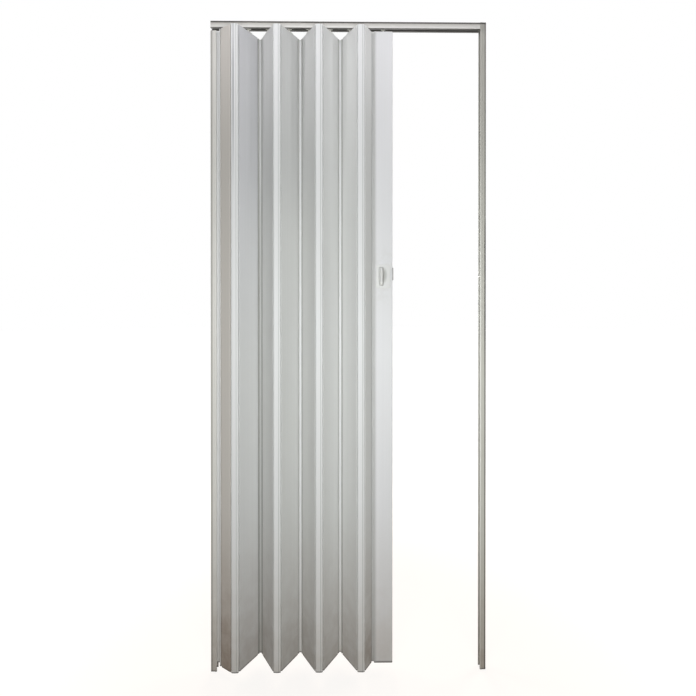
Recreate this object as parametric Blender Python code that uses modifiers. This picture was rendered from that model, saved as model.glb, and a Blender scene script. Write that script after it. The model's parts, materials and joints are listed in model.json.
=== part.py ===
"""Accordion door in a channel frame, partly folded. Origin at the middle of the track's top face."""

import math

import bmesh
import bpy
from mathutils import Matrix, Vector

MM = 0.001

# Frame, in millimetres
FRAME_WIDTH = 890.0
FRAME_HEIGHT = 2100.0
TRACK_HEIGHT = 22.0
JAMB_WIDTH = 19.0
CHANNEL_HALF_DEPTH = 10.4
LIP_BULGE = 0.8
CHANNEL_HALF_INSIDE = 9.0
CHANNEL_WEB = 2.0
LIP_THICKNESS = 2.0
TRACK_HALF_SLOT = 3.6
JAMB_HALF_MOUTH = 8.6
GAP = 0.3

# Leaf
LEAF_DROP = 9.5
LEAF_LENGTH = 2045.0
SLAT_PITCH = 96.0
FRONT_SHARE = 0.55
SLAT_THICKNESS = 8.0
SLAT_WALL = 1.05
STRIP_PITCH = 15.5
STRIP_CROWN = 0.5
STRIP_WEB = 1.5
FOLD_ANGLE = 58.0
START_LINK_ANGLE = 85.0
FIRST_SLAT_ANGLE = 33.752
FIRST_CREST_X = -359.6

# Knuckle hinges
BEAD_RADIUS = 2.35
SOCKET_INSIDE = 2.7
SOCKET_OUTSIDE = 4.1
NECK_HALF = 0.6
START_NECK_HALF = 0.5
BODY_START = 5.8
MOUTH_FROM = -14.0
MOUTH_TO = 99.5
START_MOUTH_FROM = 5.0
START_MOUTH_TO = 134.0
LINK_MOUTH_FROM = -8.0
LINK_MOUTH_TO = 91.0

# Hanging glides
GLIDE_RADIUS = 7.5
GLIDE_HEIGHT = 6.0
STEM_RADIUS = 1.5
STEM_HEAD_RADIUS = 2.3
HANGER_CELL = 18.0
HANGER_DEPTH = 18.0
HANGER_FLANGE = 1.5

# Lead post
POST_LEFT = 7.5
POST_RIGHT = 68.0
POST_HALF = 7.25
POST_WALL = 1.5
POST_CORNER = 3.0
POST_GLIDE_X = 38.0

# Handle and hook, heights from the top of the frame
HANDLE_Z = -822.5
GRIP_X = 31.0
GRIP_WIDTH = 17.0
GRIP_LENGTH = 62.0
GRIP_HEIGHT = 13.0
PLATE_LEFT = 15.0
PLATE_RIGHT = 60.5
PLATE_HEIGHT = 77.0
PLATE_THICKNESS = 2.6
SPINDLE_SIDE = 6.0
BOSS_X = 22.0
SCREW_OFFSET = 34.0
HOOK_THICKNESS = 4.0
HOOK_REACH = 42.0
HOOK_LIFT = 50.0
KEEPER_REACH = 30.0
CLOSED_EDGE_X = 433.1


def clear_scene():
    for obj in list(bpy.data.objects):
        bpy.data.objects.remove(obj, do_unlink=True)


def make_collection(name):
    found = bpy.data.collections.new(name)
    bpy.context.scene.collection.children.link(found)
    return found


def make_material(name, colour, roughness, metallic=0.0):
    made = bpy.data.materials.new(name)
    made.use_nodes = True
    shader = made.node_tree.nodes["Principled BSDF"]
    shader.inputs["Base Color"].default_value = (*colour, 1.0)
    shader.inputs["Roughness"].default_value = roughness
    shader.inputs["Metallic"].default_value = metallic
    made.diffuse_color = (*colour, 1.0)
    return made


def finish_object(name, mesh, colour, place=None):
    mesh.materials.clear()
    mesh.materials.append(colour)
    mesh.shade_smooth()
    mesh.set_sharp_from_angle(angle=math.radians(32))
    obj = bpy.data.objects.new(name, mesh)
    PARTS.objects.link(obj)
    if place is not None:
        obj.matrix_world = place
    return obj


def weld(mesh):
    work = bmesh.new()
    work.from_mesh(mesh)
    bmesh.ops.remove_doubles(work, verts=work.verts, dist=1e-6)
    bmesh.ops.recalc_face_normals(work, faces=work.faces)
    work.to_mesh(mesh)
    work.free()


def extruded(outlines, length):
    """A closed mesh from 2D outlines in millimetres, the later ones being holes, centred along local Z."""
    curve = bpy.data.curves.new("outline", "CURVE")
    curve.dimensions = "2D"
    curve.fill_mode = "BOTH"
    curve.extrude = length * MM / 2
    for outline in outlines:
        spline = curve.splines.new("POLY")
        spline.points.add(len(outline) - 1)
        for point, (x, y) in zip(spline.points, outline):
            point.co = (x * MM, y * MM, 0.0, 1.0)
        spline.use_cyclic_u = True
    holder = bpy.data.objects.new("outline", curve)
    HELPERS.objects.link(holder)
    graph = bpy.context.evaluated_depsgraph_get()
    mesh = bpy.data.meshes.new_from_object(holder.evaluated_get(graph))
    bpy.data.objects.remove(holder, do_unlink=True)
    bpy.data.curves.remove(curve)
    weld(mesh)
    return mesh


def turned(profile, steps=24):
    """A closed mesh turned about local Z from (radius, height) pairs in millimetres, listed top to bottom."""
    mesh = bpy.data.meshes.new("profile")
    points = [(r * MM, 0.0, z * MM) for r, z in profile]
    mesh.from_pydata(points, [(i, i + 1) for i in range(len(points) - 1)], [])
    holder = bpy.data.objects.new("profile", mesh)
    HELPERS.objects.link(holder)
    screw = holder.modifiers.new("turn", "SCREW")
    screw.steps = steps
    screw.render_steps = steps
    screw.use_merge_vertices = True
    screw.merge_threshold = 0.00002
    graph = bpy.context.evaluated_depsgraph_get()
    made = bpy.data.meshes.new_from_object(holder.evaluated_get(graph))
    bpy.data.objects.remove(holder, do_unlink=True)
    bpy.data.meshes.remove(mesh)
    weld(made)
    return made


def block(low, high):
    """A box mesh between two corners in millimetres."""
    mesh = bpy.data.meshes.new("block")
    work = bmesh.new()
    bmesh.ops.create_cube(work, size=1.0)
    size = [(h - l) * MM for l, h in zip(low, high)]
    middle = [(h + l) / 2 * MM for l, h in zip(low, high)]
    bmesh.ops.scale(work, vec=size, verts=work.verts)
    bmesh.ops.translate(work, vec=middle, verts=work.verts)
    work.to_mesh(mesh)
    work.free()
    return mesh


def rod(radius, start, end, sides=20):
    """A cylinder mesh between two points in millimetres."""
    mesh = bpy.data.meshes.new("rod")
    work = bmesh.new()
    a, b = Vector(start) * MM, Vector(end) * MM
    bmesh.ops.create_cone(
        work, cap_ends=True, segments=sides, radius1=radius * MM, radius2=radius * MM, depth=(b - a).length
    )
    turn = (b - a).to_track_quat("Z", "Y").to_matrix().to_4x4()
    bmesh.ops.transform(work, matrix=Matrix.Translation((a + b) / 2) @ turn, verts=work.verts)
    work.to_mesh(mesh)
    work.free()
    return mesh


def shaped(obj, mesh, operation):
    """Joins a mesh to an object, or cuts it away, in the object's own frame."""
    tool = bpy.data.objects.new(obj.name + "_" + operation.lower(), mesh)
    HELPERS.objects.link(tool)
    tool.matrix_world = obj.matrix_world
    tool.hide_render = True
    tool.display_type = "WIRE"
    step = obj.modifiers.new(operation.lower(), "BOOLEAN")
    step.object = tool
    step.operation = operation
    step.solver = "EXACT"


def cut(obj, mesh):
    shaped(obj, mesh, "DIFFERENCE")


def join(obj, mesh):
    shaped(obj, mesh, "UNION")


def soften(obj, width, segments=2, angle=40):
    step = obj.modifiers.new("round", "BEVEL")
    step.width = width * MM
    step.segments = segments
    step.limit_method = "ANGLE"
    step.angle_limit = math.radians(angle)


def arc(centre, radius, start, end, step=18.0):
    """Points on a circle from one angle to another, in degrees."""
    count = max(1, round(abs(end - start) / step))
    angles = [math.radians(start + (end - start) * i / count) for i in range(count + 1)]
    return [(centre[0] + radius * math.cos(a), centre[1] + radius * math.sin(a)) for a in angles]


def mirrored(points, about):
    """Points mirrored in x about a line, in reverse order."""
    return [(2 * about - x, y) for x, y in reversed(points)]


def flipped(points):
    return [(x, -y) for x, y in points]


def rectangle(left, right, half):
    return [(left, -half), (right, -half), (right, half), (left, half)]


def rounded(left, right, low, high, radius, step=30.0):
    points = arc((right - radius, low + radius), radius, -90, 0, step)
    points += arc((right - radius, high - radius), radius, 0, 90, step)
    points += arc((left + radius, high - radius), radius, 90, 180, step)
    points += arc((left + radius, low + radius), radius, 180, 270, step)
    return points


def channel_outline(height, half_mouth):
    """A lipped channel: web at v = 0, mouth at v = -height, with a proud band along the lips."""
    proud = CHANNEL_HALF_DEPTH + LIP_BULGE
    half = [
        (CHANNEL_HALF_DEPTH - 0.6, 0.0),
        (CHANNEL_HALF_DEPTH, -0.6),
        (CHANNEL_HALF_DEPTH, 7.5 - height),
        (proud, 6.7 - height),
        (proud, 0.9 - height),
        (proud - 0.9, -height),
        (half_mouth + 0.3, -height),
        (half_mouth, 0.3 - height),
        (half_mouth, LIP_THICKNESS - height),
        (CHANNEL_HALF_INSIDE, LIP_THICKNESS + 0.3 - height),
        (CHANNEL_HALF_INSIDE, -CHANNEL_WEB),
    ]
    return half + mirrored(half, 0.0)


def bead_end():
    """The hinge bead and neck at the left end of a slat, from its lower corner round to its upper one."""
    meet = math.degrees(math.asin(NECK_HALF / BEAD_RADIUS))
    half = SLAT_THICKNESS / 2
    points = arc((BODY_START + 1.2, -half + 1.2), 1.2, 270, 180, 30)
    points.append((BODY_START, -NECK_HALF))
    points += arc((0.0, 0.0), BEAD_RADIUS, 360 - meet, meet, 24)
    points.append((BODY_START, NECK_HALF))
    points += arc((BODY_START + 1.2, half - 1.2), 1.2, 180, 90, 30)
    return points


def slat_outline(length):
    left = bead_end()
    return left + mirrored(left, length / 2)


def slat_cells(length, pivot=None):
    """Hollow cells of a slat. A hanger cell is centred on the pivot, where there is one."""
    half = SLAT_THICKNESS / 2 - SLAT_WALL
    low, high = BODY_START + 1.3, length - BODY_START - 1.3
    if pivot is None:
        bays = [(low, high, 2)]
        middle = []
    else:
        middle = [(pivot - HANGER_CELL / 2, pivot + HANGER_CELL / 2)]
        bays = [(low, middle[0][0] - SLAT_WALL, 2), (middle[0][1] + SLAT_WALL, high, 2)]
    cells = list(middle)
    for start, end, count in bays:
        span = (end - start - SLAT_WALL * (count - 1)) / count
        for i in range(count):
            left = start + i * (span + SLAT_WALL)
            cells.append((left, left + span))
    return [rectangle(a, b, half) for a, b in cells]


def strip_outline():
    """A hinge strip: two open knuckle sockets on a crowned web that faces local -Y."""
    web_angle = math.degrees(math.asin((SOCKET_OUTSIDE - STRIP_WEB) / SOCKET_OUTSIDE))
    centre = (STRIP_PITCH, 0.0)
    right = [(STRIP_PITCH / 2, STRIP_WEB - SOCKET_OUTSIDE)]
    right += arc(centre, SOCKET_OUTSIDE, 180 + web_angle, MOUTH_TO, 20)
    right += arc(centre, SOCKET_INSIDE, MOUTH_TO, 360 + MOUTH_FROM, 20)
    right += arc(centre, SOCKET_OUTSIDE, MOUTH_FROM, -90, 18)
    crown = [(STRIP_PITCH * 0.75, -SOCKET_OUTSIDE - STRIP_CROWN * 0.75)]
    crown.append((STRIP_PITCH / 2, -SOCKET_OUTSIDE - STRIP_CROWN))
    right += crown
    left = mirrored(right, STRIP_PITCH / 2)
    return right + left[1:-1]


def link_outline():
    """The start link: a bead on a thin neck at the wall end and an open knuckle socket at the slat end."""
    meet = math.degrees(math.asin(START_NECK_HALF / BEAD_RADIUS))
    join_half = 1.1
    join_angle = math.degrees(math.asin(join_half / SOCKET_OUTSIDE))
    centre = (STRIP_PITCH, 0.0)
    points = arc((0.0, 0.0), BEAD_RADIUS, 360 - meet, meet, 24)
    points += [(SOCKET_OUTSIDE + 0.7, START_NECK_HALF), (SOCKET_OUTSIDE + 1.5, join_half)]
    points += arc(centre, SOCKET_OUTSIDE, 180 - join_angle, LINK_MOUTH_TO, 20)
    points += arc(centre, SOCKET_INSIDE, LINK_MOUTH_TO, 360 + LINK_MOUTH_FROM, 20)
    points += arc(centre, SOCKET_OUTSIDE, LINK_MOUTH_FROM, join_angle - 180, 20)
    points += [(SOCKET_OUTSIDE + 1.5, -join_half), (SOCKET_OUTSIDE + 0.7, -START_NECK_HALF)]
    return points


def start_outline(back):
    """The wall profile: a hollow block in the channel, a short web and a knuckle socket at its origin."""
    web_half = 2.4
    web_angle = math.degrees(math.asin(web_half / SOCKET_OUTSIDE))
    half = CHANNEL_HALF_INSIDE - GAP
    front = back + 11.0
    centre = (0.0, 0.0)
    points = arc(centre, SOCKET_OUTSIDE, 180 + web_angle, 360 - START_MOUTH_TO, 20)
    points += arc(centre, SOCKET_INSIDE, 360 - START_MOUTH_TO, -START_MOUTH_FROM, 20)
    points += arc(centre, SOCKET_OUTSIDE, -START_MOUTH_FROM, 180 - web_angle, 20)
    points += [(front + 1.0, web_half), (front, half), (back, half), (back, -half), (front, -half)]
    points.append((front + 1.0, -web_half))
    return points


def post_outline():
    """The lead post: a hollow box with a knuckle socket at its origin, open to the front and left."""
    web_half = 2.6
    web_angle = math.degrees(math.asin(web_half / SOCKET_OUTSIDE))
    centre = (0.0, 0.0)
    points = arc((POST_RIGHT - POST_CORNER, POST_CORNER - POST_HALF), POST_CORNER, -90, 0, 22.5)
    points += arc((POST_RIGHT - POST_CORNER, POST_HALF - POST_CORNER), POST_CORNER, 0, 90, 22.5)
    points += arc((POST_LEFT + 1.0, POST_HALF - 1.0), 1.0, 90, 180, 45)
    points.append((POST_LEFT, web_half))
    points += arc(centre, SOCKET_OUTSIDE, web_angle, 180 + MOUTH_FROM, 20)
    points += arc(centre, SOCKET_INSIDE, 180 + MOUTH_FROM, MOUTH_TO - 180, 20)
    points += arc(centre, SOCKET_OUTSIDE, MOUTH_TO - 180, -web_angle, 20)
    points.append((POST_LEFT, -web_half))
    points += arc((POST_LEFT + 1.0, 1.0 - POST_HALF), 1.0, 180, 270, 45)
    return points


def upright(name, outlines, length, top, x, y, angle, colour):
    """An extrusion standing upright with its top at a height, its origin on the vertical line at x, y."""
    stand = Matrix.Translation((x * MM, y * MM, (top - length / 2) * MM))
    place = stand @ Matrix.Rotation(math.radians(angle), 4, "Z")
    return finish_object(name, extruded(outlines, length), colour, place)


def add_frame():
    across = Matrix(((0, 0, 1, 0), (1, 0, 0, 0), (0, 1, 0, 0), (0, 0, 0, 1)))
    length = FRAME_WIDTH - JAMB_WIDTH - GAP
    mesh = extruded([channel_outline(TRACK_HEIGHT, TRACK_HALF_SLOT)], length)
    mesh.transform(Matrix.Translation((-(JAMB_WIDTH + GAP) / 2 * MM, 0, 0)) @ across)
    track = finish_object("track", mesh, FRAME_WHITE)
    for x in (-380, -140, 140, 380):
        cut(track, rod(2.25, (x, 0, -5), (x, 0, 5), 16))

    holes = (-150, -650, -1450, -1950)
    left_outline = [(-v, u) for u, v in channel_outline(JAMB_WIDTH, JAMB_HALF_MOUTH)]
    left_top = -TRACK_HEIGHT - LEAF_DROP
    length = FRAME_HEIGHT + left_top
    left = upright("left_jamb", [left_outline], length, left_top, -FRAME_WIDTH / 2, 0, 0, FRAME_WHITE)
    for z in holes:
        height = z - left_top + length / 2
        cut(left, rod(2.25, (-5, 0, height), (5, 0, height), 16))

    right_outline = [(v, u) for u, v in channel_outline(JAMB_WIDTH, JAMB_HALF_MOUTH)]
    right = upright("right_jamb", [right_outline], FRAME_HEIGHT, 0, FRAME_WIDTH / 2, 0, 0, FRAME_WHITE)
    for z in holes:
        height = z + FRAME_HEIGHT / 2
        cut(right, rod(2.25, (-5, 0, height), (5, 0, height), 16))


def add_keeper():
    """A staple that the hook drops behind, standing on the web of the right jamb."""
    base = FRAME_WIDTH / 2 - CHANNEL_WEB - GAP
    bar = CLOSED_EDGE_X - (POST_RIGHT - GRIP_X) + KEEPER_REACH
    keeper = finish_object("keeper", block((-1.5, -6.5, -22), (0, 6.5, 22)), STEEL)
    keeper.matrix_world = Matrix.Translation((base * MM, 0, HANDLE_Z * MM))
    soften(keeper, 0.4)
    for side in (-1, 1):
        low, high = sorted((side * 3.0, side * 5.0))
        join(keeper, block((bar - base - 1.2, low, -1.6), (-0.7, high, 1.6)))
    join(keeper, rod(1.2, (bar - base, -4.6, 0), (bar - base, 4.6, 0), 16))


def add_hanger(number, x, angle):
    """A plug in the hanger cell of a slat and the round glide that it turns with."""
    top = -TRACK_HEIGHT - LEAF_DROP
    turn = Matrix.Rotation(math.radians(angle), 4, "Z")
    place = Matrix.Translation((x * MM, 0, top * MM)) @ turn
    half = SLAT_THICKNESS / 2 - SLAT_WALL - GAP
    side = HANGER_CELL / 2 - GAP
    wide = SLAT_THICKNESS / 2
    body = block((-side, -half, -HANGER_DEPTH), (side, half, 0.8))
    plug = finish_object(f"hanger_plug_{number}", body, NYLON, place)
    join(plug, block((-side - 3, -wide, GAP), (side + 3, wide, GAP + HANGER_FLANGE)))
    cut(plug, rod(STEM_RADIUS + GAP, (0, 0, -HANGER_DEPTH - 5), (0, 0, 8)))
    finish_object(f"glide_{number}", glide_mesh(), NYLON, place)


def glide_mesh():
    """A glide: a round shoe above the track's lips, a stem through the slot and a head below the plug."""
    floor = LEAF_DROP + LIP_THICKNESS + GAP
    profile = [
        (0.0, floor + GLIDE_HEIGHT),
        (GLIDE_RADIUS - 2.0, floor + GLIDE_HEIGHT),
        (GLIDE_RADIUS, floor + GLIDE_HEIGHT - 1.5),
        (GLIDE_RADIUS, floor + 0.6),
        (GLIDE_RADIUS - 0.6, floor),
        (STEM_RADIUS + 0.8, floor),
        (STEM_RADIUS, floor - 1.0),
        (STEM_RADIUS, -HANGER_DEPTH - GAP),
        (STEM_HEAD_RADIUS, -HANGER_DEPTH - GAP),
        (STEM_HEAD_RADIUS, -HANGER_DEPTH - GAP - 2.0),
        (STEM_RADIUS, -HANGER_DEPTH - GAP - 3.2),
        (0.0, -HANGER_DEPTH - GAP - 3.2),
    ]
    return turned(profile, 16)


def add_leaf():
    """The folding leaf from the wall profile to the lead post. Returns the lead post's hinge position."""
    top = -TRACK_HEIGHT - LEAF_DROP
    fold = math.radians(FOLD_ANGLE)
    run = SLAT_PITCH * math.cos(fold)
    deep = SLAT_PITCH * math.sin(fold)
    front, rear = -FRONT_SHARE * deep, (1 - FRONT_SHARE) * deep
    half_slat = FRONT_SHARE * SLAT_PITCH
    link = math.radians(START_LINK_ANGLE)
    first = math.radians(FIRST_SLAT_ANGLE)

    x = FIRST_CREST_X - STRIP_PITCH / 2
    elbow_x = x - half_slat * math.cos(first)
    elbow_y = front + half_slat * math.sin(first)
    start_x = elbow_x - STRIP_PITCH * math.cos(link)
    back = CHANNEL_WEB + GAP - FRAME_WIDTH / 2 - start_x
    cell = rectangle(back + 1.5, back + 9.5, CHANNEL_HALF_INSIDE - GAP - 1.5)
    upright("start_profile", [start_outline(back), cell], LEAF_LENGTH, top, start_x, 0, 0, STRIP_WHITE)
    upright("start_link", [link_outline()], LEAF_LENGTH, top, start_x, 0, -START_LINK_ANGLE, STRIP_WHITE)
    short = [slat_outline(half_slat)] + slat_cells(half_slat)
    upright("slat_1", short, LEAF_LENGTH, top, elbow_x, elbow_y, -FIRST_SLAT_ANGLE, SLAT_GREY)

    crest = strip_outline()
    valley = flipped(crest)
    inward = [slat_outline(SLAT_PITCH)] + slat_cells(SLAT_PITCH, half_slat)
    outward = [slat_outline(SLAT_PITCH)] + slat_cells(SLAT_PITCH, SLAT_PITCH - half_slat)
    for fold_number in range(1, 5):
        upright(f"crest_strip_{fold_number}", [crest], LEAF_LENGTH, top, x, front, 0, STRIP_WHITE)
        x += STRIP_PITCH
        if fold_number == 4:
            break
        number = 2 * fold_number
        upright(f"slat_{number}", inward, LEAF_LENGTH, top, x, front, FOLD_ANGLE, SLAT_GREY)
        add_hanger(number, x + FRONT_SHARE * run, FOLD_ANGLE)
        x += run
        upright(f"valley_strip_{fold_number}", [valley], LEAF_LENGTH, top, x, rear, 0, STRIP_WHITE)
        x += STRIP_PITCH
        upright(f"slat_{number + 1}", outward, LEAF_LENGTH, top, x, rear, -FOLD_ANGLE, SLAT_GREY)
        add_hanger(number + 1, x + (1 - FRONT_SHARE) * run, -FOLD_ANGLE)
        x += run
    upright("slat_8", short, LEAF_LENGTH, top, x, front, FOLD_ANGLE, SLAT_GREY)
    return x + FRONT_SHARE * run


def add_cap(name, post_x, level, inward):
    """An end cap of the lead post: a flange over its end and a plug that goes in."""
    place = Matrix.Translation((post_x * MM, 0, level * MM))
    inside = rounded(
        POST_LEFT + POST_WALL + GAP,
        POST_RIGHT - POST_WALL - GAP,
        GAP + POST_WALL - POST_HALF,
        POST_HALF - POST_WALL - GAP,
        1.2,
    )
    outside = rounded(POST_LEFT, POST_RIGHT, -POST_HALF, POST_HALF, POST_CORNER)
    plug = extruded([inside], HANGER_DEPTH)
    plug.transform(Matrix.Translation((0, 0, inward * (HANGER_DEPTH / 2 - 1.0) * MM)))
    cap = finish_object(name, plug, STRIP_WHITE, place)
    flange = extruded([outside], HANGER_FLANGE)
    flange.transform(Matrix.Translation((0, 0, -inward * (GAP + HANGER_FLANGE / 2) * MM)))
    join(cap, flange)
    return cap


def add_lead_post(x):
    top = -TRACK_HEIGHT - LEAF_DROP
    cavity = rounded(
        POST_LEFT + POST_WALL, POST_RIGHT - POST_WALL, POST_WALL - POST_HALF, POST_HALF - POST_WALL, 1.5
    )
    post = upright("lead_post", [post_outline(), cavity], LEAF_LENGTH, top, x, 0, 0, STRIP_WHITE)
    height = HANDLE_Z - top + LEAF_LENGTH / 2
    cut(post, rod(5.2, (GRIP_X, -12, height), (GRIP_X, 12, height), 24))
    for offset in (-SCREW_OFFSET, SCREW_OFFSET):
        cut(post, rod(3.8, (BOSS_X, -12, height + offset), (BOSS_X, 0, height + offset), 16))
        cut(post, rod(1.9, (BOSS_X, 0, height + offset), (BOSS_X, 12, height + offset), 16))
    cut(post, block((POST_RIGHT - 6, -5.5, height - 8), (POST_RIGHT + 6, 5.5, height + 25)))

    upper = add_cap("lead_top_cap", x, top, -1)
    cut(upper, rod(STEM_RADIUS + GAP, (POST_GLIDE_X, 0, -HANGER_DEPTH - 5), (POST_GLIDE_X, 0, 8)))
    add_cap("lead_bottom_cap", x, top - LEAF_LENGTH, 1)
    place = Matrix.Translation(((x + POST_GLIDE_X) * MM, 0, top * MM))
    finish_object("lead_glide", glide_mesh(), NYLON, place)


def grip_mesh(towards):
    """Half of a long ellipsoid, flat at y = 0 and rising along local Y."""
    mesh = bpy.data.meshes.new("grip")
    work = bmesh.new()
    bmesh.ops.create_uvsphere(work, u_segments=28, v_segments=16, radius=1.0)
    size = (GRIP_WIDTH / 2 * MM, GRIP_HEIGHT * MM, GRIP_LENGTH / 2 * MM)
    bmesh.ops.scale(work, vec=size, verts=work.verts)
    far = [face for face in work.faces if face.calc_center_median().y * towards < 0]
    bmesh.ops.delete(work, geom=far, context="FACES")
    rim = [edge for edge in work.edges if edge.is_boundary]
    bmesh.ops.contextual_create(work, geom=rim)
    bmesh.ops.recalc_face_normals(work, faces=work.faces)
    work.to_mesh(mesh)
    work.free()
    return mesh


def hook_outline():
    """The latch hook in its thrown position, pointing along local X with the beak down."""
    end = HOOK_REACH
    points = arc((0, 0), 8.0, 90, 300, 20)
    points += [(22.0, -3.0), (KEEPER_REACH - 3.5, 2.0), (end - 8.5, 2.0), (end - 8.5, -5.2)]
    points += [(end - 7.5, -6.0), (end - 2.0, -6.0), (end, -3.5), (end, 3.0), (end - 4.0, 8.0)]
    return points


def add_handle(x):
    """Plates, turning grips, spindle and hook of the lead post."""
    face = POST_HALF + GAP
    middle = Matrix.Translation((x * MM, 0, HANDLE_Z * MM))
    pivot = Matrix.Translation(((x + GRIP_X) * MM, 0, HANDLE_Z * MM))
    stand = Matrix.Rotation(math.radians(90), 4, "X")
    outline = rounded(PLATE_LEFT, PLATE_RIGHT, -PLATE_HEIGHT / 2, PLATE_HEIGHT / 2, 6.0, 22.5)
    for name, side in (("front_plate", -1), ("back_plate", 1)):
        mesh = extruded([outline], PLATE_THICKNESS)
        mesh.transform(Matrix.Translation((0, side * (face + PLATE_THICKNESS / 2) * MM, 0)) @ stand)
        plate = finish_object(name, mesh, HANDLE_WHITE, middle)
        soften(plate, 0.9)
        for offset in (-SCREW_OFFSET, SCREW_OFFSET):
            if side < 0:
                join(plate, rod(3.4, (BOSS_X, -face - 1.0, offset), (BOSS_X, 2.0, offset), 16))
                cut(plate, rod(1.25, (BOSS_X, -face + 0.6, offset), (BOSS_X, 8.0, offset), 16))
            else:
                cut(plate, rod(1.7, (BOSS_X, 0, offset), (BOSS_X, 20, offset), 16))
        cut(plate, rod(4.5, (GRIP_X, side * 2, 0), (GRIP_X, side * 20, 0), 24))

    seat = face + PLATE_THICKNESS + GAP
    for name, side in (("front_grip", -1), ("back_grip", 1)):
        mesh = grip_mesh(side)
        mesh.transform(Matrix.Translation((0, side * seat * MM, 0)))
        grip = finish_object(name, mesh, HANDLE_WHITE, pivot)
        half = SPINDLE_SIDE / 2 + GAP
        inner, outer = sorted((side * (seat - 2), side * (seat + 7)))
        cut(grip, block((-half, inner, -half), (half, outer, half)))

    half = SPINDLE_SIDE / 2
    reach = seat + 6.5
    spindle = finish_object("spindle", block((-half, -reach, -half), (half, reach, half)), STEEL, pivot)
    soften(spindle, 0.4)

    square = math.hypot(half + GAP, half + GAP)
    hole = arc((0, 0), square, 45 - HOOK_LIFT, 315 - HOOK_LIFT, 90)
    mesh = extruded([hook_outline(), hole], HOOK_THICKNESS)
    mesh.transform(Matrix.Rotation(math.radians(-HOOK_LIFT), 4, "Y") @ stand)
    finish_object("latch_hook", mesh, STEEL, pivot)

    edge = POST_RIGHT + GAP
    surround = block((edge, -6.6, -11.5), (edge + 2.6, 6.6, 28.5))
    face_plate = finish_object("edge_plate", surround, HANDLE_WHITE, middle)
    soften(face_plate, 1.0)
    cut(face_plate, block((edge - 3, -5.5, -8), (edge + 6, 5.5, 25)))

    tip = 3.0 - seat - face
    profile = [(0.0, 2.0), (1.6, 1.8), (2.7, 0.9), (2.9, 0.0), (1.2, 0.0), (0.9, tip), (0.0, tip)]
    aim = Matrix.Rotation(math.radians(-90), 4, "X")
    for name, offset in (("plate_screw_lower", -SCREW_OFFSET), ("plate_screw_upper", SCREW_OFFSET)):
        mesh = turned(profile, 16)
        mesh.transform(Matrix.Translation((BOSS_X * MM, seat * MM, offset * MM)) @ aim)
        finish_object(name, mesh, STEEL, middle)


clear_scene()
PARTS = make_collection("accordion_door")
HELPERS = make_collection("helpers")
FRAME_WHITE = make_material("frame_white", (0.60, 0.60, 0.61), 0.38)
SLAT_GREY = make_material("slat_grey", (0.66, 0.66, 0.66), 0.45)
STRIP_WHITE = make_material("strip_white", (0.76, 0.77, 0.79), 0.35)
HANDLE_WHITE = make_material("handle_white", (0.74, 0.73, 0.74), 0.35)
NYLON = make_material("glide_nylon", (0.80, 0.79, 0.74), 0.5)
STEEL = make_material("zinc_steel", (0.55, 0.55, 0.56), 0.35, 1.0)

add_frame()
add_keeper()
LEAD_X = add_leaf()
add_lead_post(LEAD_X)
add_handle(LEAD_X)
print(f"lead hinge x {LEAD_X:.3f} mm, lead edge x {LEAD_X + POST_RIGHT:.3f} mm")
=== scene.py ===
import json
import math

import bmesh
import bpy
from mathutils import Matrix, Vector


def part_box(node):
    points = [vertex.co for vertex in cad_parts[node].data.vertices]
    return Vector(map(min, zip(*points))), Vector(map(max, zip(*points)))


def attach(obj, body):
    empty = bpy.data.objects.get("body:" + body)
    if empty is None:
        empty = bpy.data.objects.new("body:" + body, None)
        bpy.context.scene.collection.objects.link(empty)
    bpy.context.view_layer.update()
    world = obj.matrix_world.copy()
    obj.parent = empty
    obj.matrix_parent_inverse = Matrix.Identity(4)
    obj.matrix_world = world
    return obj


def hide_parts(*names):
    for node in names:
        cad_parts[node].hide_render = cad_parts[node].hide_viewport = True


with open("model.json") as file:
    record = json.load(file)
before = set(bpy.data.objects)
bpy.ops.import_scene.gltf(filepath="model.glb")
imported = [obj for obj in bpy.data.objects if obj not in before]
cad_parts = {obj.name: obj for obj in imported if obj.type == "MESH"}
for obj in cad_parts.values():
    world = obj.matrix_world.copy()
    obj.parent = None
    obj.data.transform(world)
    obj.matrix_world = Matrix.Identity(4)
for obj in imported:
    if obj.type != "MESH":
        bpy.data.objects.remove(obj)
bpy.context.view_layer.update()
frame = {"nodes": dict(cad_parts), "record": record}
nodes = frame["nodes"]
scene = bpy.context.scene
scene.view_settings.view_transform = "Standard"
print("frame loaded:", len(nodes), "solids")

# edges of the door that the finishes and the studio are measured from
wallEdge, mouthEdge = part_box("right_jamb")[1].x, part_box("right_jamb")[0].x
trackFoot, leafFoot, frameFoot = (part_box(name)[0].z for name in ("track", "slat_2", "right_jamb"))
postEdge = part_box("lead_post")[0].x
gripLow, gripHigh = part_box("front_grip")
gripMiddle = (gripLow + gripHigh) / 2

number, direction = "NodeSocketFloat", "NodeSocketVector"
mixFactor, mixFirst, mixSecond, mixResult = 0, 6, 7, 2  # sockets of a Mix node that is set to colour
nodeStep, rowStep, rowLength = 220, 320, 10
outputPlace = (nodeStep * (rowLength + 1), 0)


# small helpers for node trees; nodes stand in rows, in the order in which they are made
def place(tree, kind, sockets=None, **settings):
    row, column = divmod(len(tree.nodes), rowLength)
    node = tree.nodes.new(kind)
    node.location = (nodeStep * column, -rowStep * row)
    for name, value in settings.items():
        setattr(node, name, value)
    for name, value in (sockets or {}).items():
        node.inputs[name].default_value = value
    return node


def feed(tree, socket, value):
    if isinstance(value, bpy.types.NodeSocket):
        tree.links.new(value, socket)
    elif isinstance(value, tuple) and len(socket.default_value) == 4:
        socket.default_value = (*value, 1.0)
    else:
        socket.default_value = value


def calc(tree, operation, first, second=0.0, clamp=False):
    node = place(tree, "ShaderNodeMath", operation=operation, use_clamp=clamp)
    feed(tree, node.inputs[0], first)
    feed(tree, node.inputs[1], second)
    return node.outputs[0]


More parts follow.
